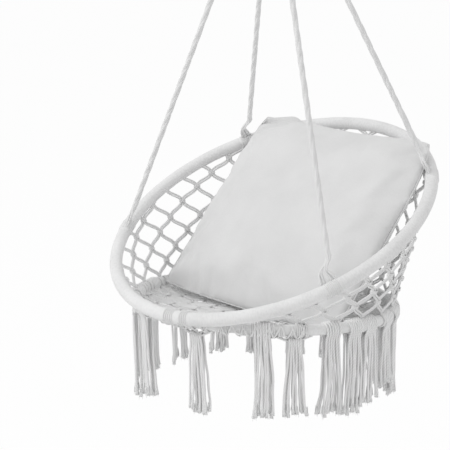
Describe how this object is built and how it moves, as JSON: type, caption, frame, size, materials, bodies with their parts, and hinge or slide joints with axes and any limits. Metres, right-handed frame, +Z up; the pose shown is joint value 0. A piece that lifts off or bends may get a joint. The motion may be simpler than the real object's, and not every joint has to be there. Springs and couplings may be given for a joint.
{
  "type": "hammock chair",
  "caption": "Round cotton net hammock chair with a tilted hoop, seat ring, tassels and square cushion, hanging on ropes from a ring, snap hook, chain and ceiling plate.",
  "frame": {"origin": "middle of the ceiling plate's back face", "axes": "+Z up into the ceiling, the chair's low front towards -Y, X from side to side"},
  "size_m": [0.7982, 0.7311, 1.6522],
  "materials": {
    "polished_steel": "polished",
    "zinc": "zinc plated",
    "frame_tube": "satin",
    "wound_cotton": "smooth wound cotton",
    "cotton_cord": "twisted and braided cord",
    "cushion_cloth": "plain weave",
    "wadding": "loose fibre"
  },
  "bodies": {
    "ceiling_plate": {"ceiling_plate": "polished_steel", "ceiling_screw_1": "zinc", "ceiling_screw_2": "zinc", "ceiling_screw_3": "zinc", "ceiling_screw_4": "zinc"},
    "hanging_ring": {"hanging_ring": "polished_steel"},
    "link_1": {"chain_link_1": "zinc"},
    "link_2": {"chain_link_2": "zinc"},
    "link_3": {"chain_link_3": "zinc"},
    "link_4": {"chain_link_4": "zinc"},
    "link_5": {"chain_link_5": "zinc"},
    "link_6": {"chain_link_6": "zinc"},
    "carabiner": {"carabiner_body": "zinc", "gate_rivet": "zinc"},
    "gate": {"carabiner_gate": "zinc", "gate_spring": "zinc"},
    "rope_ring": {"rope_ring": "polished_steel"},
    "chair": {"rope_knot": "cotton_cord", "upper_hoop_tube": "frame_tube", "upper_hoop_cover": "wound_cotton", "seat_ring_tube": "frame_tube", "seat_ring_cover": "wound_cotton", "rope_front_right": "cotton_cord", "rope_front_left": "cotton_cord", "rope_back_left": "cotton_cord", "rope_back_right": "cotton_cord", "lashing_front_right": "cotton_cord", "lashing_front_left": "cotton_cord", "lashing_back_left": "cotton_cord", "lashing_back_right": "cotton_cord", "side_net": "cotton_cord", "seat_net": "cotton_cord", "tassel_1": "cotton_cord", "tassel_2": "cotton_cord", "tassel_3": "cotton_cord", "tassel_4": "cotton_cord", "tassel_5": "cotton_cord", "tassel_6": "cotton_cord", "tassel_7": "cotton_cord", "tassel_8": "cotton_cord", "tassel_9": "cotton_cord", "tassel_10": "cotton_cord", "tassel_11": "cotton_cord", "tassel_12": "cotton_cord", "tassel_13": "cotton_cord", "tassel_14": "cotton_cord", "tassel_15": "cotton_cord", "tassel_16": "cotton_cord", "tassel_17": "cotton_cord", "tassel_18": "cotton_cord", "tassel_19": "cotton_cord", "tassel_20": "cotton_cord"},
    "cushion": {"cushion_cover": "cushion_cloth", "cushion_insert": "wadding"}
  },
  "joints": [
    {"name": "ring_swing", "type": "hinge", "parent": "ceiling_plate", "child": "hanging_ring", "pos_m": [0, 0, -0.022], "axis": [1, 0, 0], "range_deg": [-60, 60]},
    {"name": "link_1_swing", "type": "hinge", "parent": "hanging_ring", "child": "link_1", "pos_m": [0, 0, -0.05565], "axis": [0, 1, 0], "range_deg": [-50, 50]},
    {"name": "link_2_swing", "type": "hinge", "parent": "link_1", "child": "link_2", "pos_m": [0, 0, -0.0728], "axis": [-1, 0, 0], "range_deg": [-50, 50]},
    {"name": "link_3_swing", "type": "hinge", "parent": "link_2", "child": "link_3", "pos_m": [0, 0, -0.09145], "axis": [0, -1, 0], "range_deg": [-50, 50]},
    {"name": "link_4_swing", "type": "hinge", "parent": "link_3", "child": "link_4", "pos_m": [0, 0, -0.1101], "axis": [1, 0, 0], "range_deg": [-50, 50]},
    {"name": "link_5_swing", "type": "hinge", "parent": "link_4", "child": "link_5", "pos_m": [0, 0, -0.12875], "axis": [0, 1, 0], "range_deg": [-50, 50]},
    {"name": "link_6_swing", "type": "hinge", "parent": "link_5", "child": "link_6", "pos_m": [0, 0, -0.1474], "axis": [-1, 0, 0], "range_deg": [-50, 50]},
    {"name": "carabiner_swing", "type": "hinge", "parent": "link_6", "child": "carabiner", "pos_m": [0, 0, -0.16605], "axis": [0, -1, 0], "range_deg": [-50, 50]},
    {"name": "gate_pivot", "type": "hinge", "parent": "carabiner", "child": "gate", "pos_m": [0.00898, 0, -0.21263], "axis": [0, -1, 0], "range_deg": [0, 28], "stiffness_Nm_per_rad": 0.08, "springref_deg": -20.05},
    {"name": "rope_ring_swing", "type": "hinge", "parent": "carabiner", "child": "rope_ring", "pos_m": [0, 0, -0.2252], "axis": [1, 0, 0], "range_deg": [-60, 60]},
    {"name": "chair_swing", "type": "hinge", "parent": "rope_ring", "child": "chair", "pos_m": [0, 0, -0.25985], "axis": [0, 1, 0], "range_deg": [-45, 45]},
    {"name": "cushion_lift", "type": "slide", "parent": "chair", "child": "cushion", "axis": [0, -0.7196, 0.6944], "range_m": [0, 0.12]}
  ]
}
